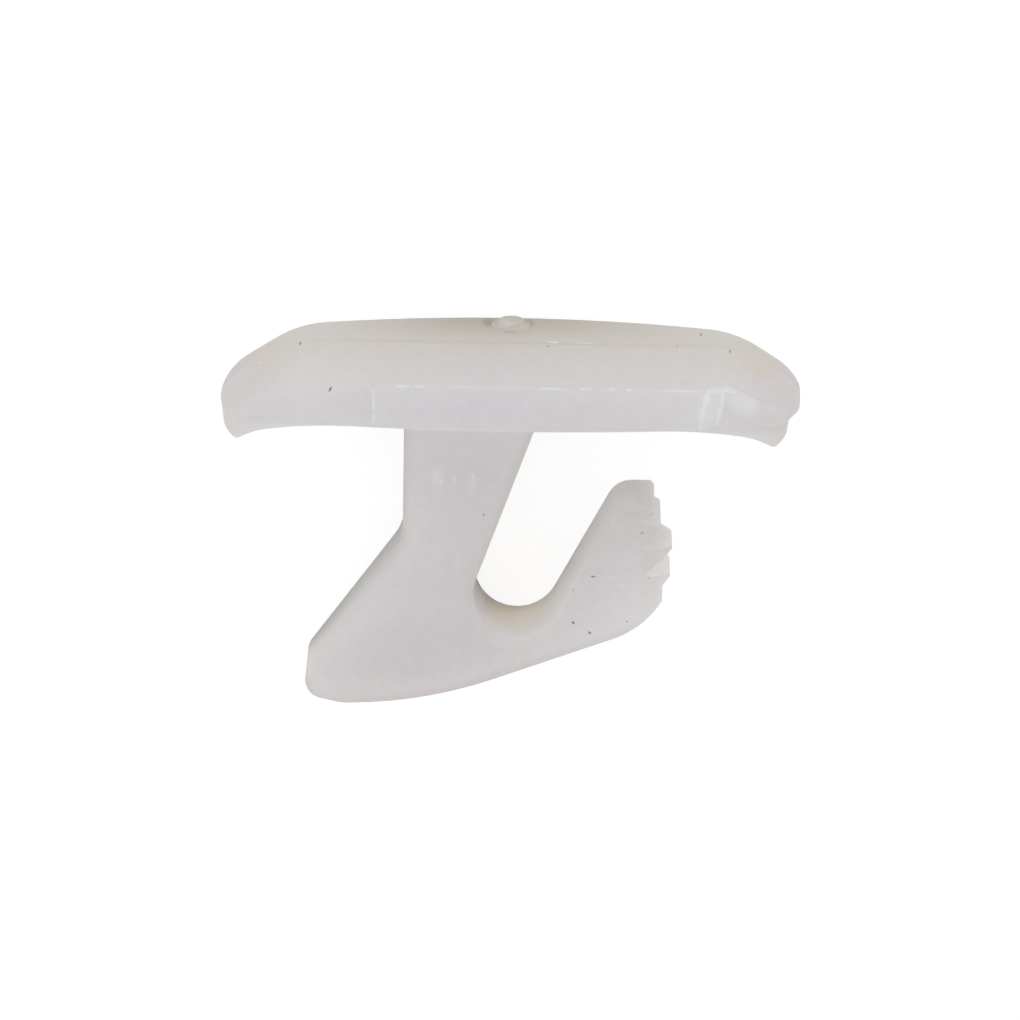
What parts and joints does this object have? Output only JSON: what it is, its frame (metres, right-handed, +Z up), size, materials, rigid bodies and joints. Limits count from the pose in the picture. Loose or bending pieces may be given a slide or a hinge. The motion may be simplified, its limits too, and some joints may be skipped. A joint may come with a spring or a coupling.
{
  "type": "weatherstrip clip",
  "caption": "Moulded nylon push-in clip: long rounded head with bevelled edges and drooping lips, on a slanted stem with a foot and a sprung, toothed leg.",
  "frame": {"origin": "middle of the clip's bounding box, on the surface it lies on", "axes": "+X along the head, +Y from the foot towards the top of the head, +Z up. The clip lies on its back, resting on the rim of the head and the edge of the foot, so its front faces up."},
  "size_m": [0.019, 0.0128, 0.0093],
  "materials": {
    "nylon": "satin, milky and slightly translucent, unpigmented"
  },
  "bodies": {
    "root": {"weatherstrip_clip": "nylon"}
  },
  "joints": []
}
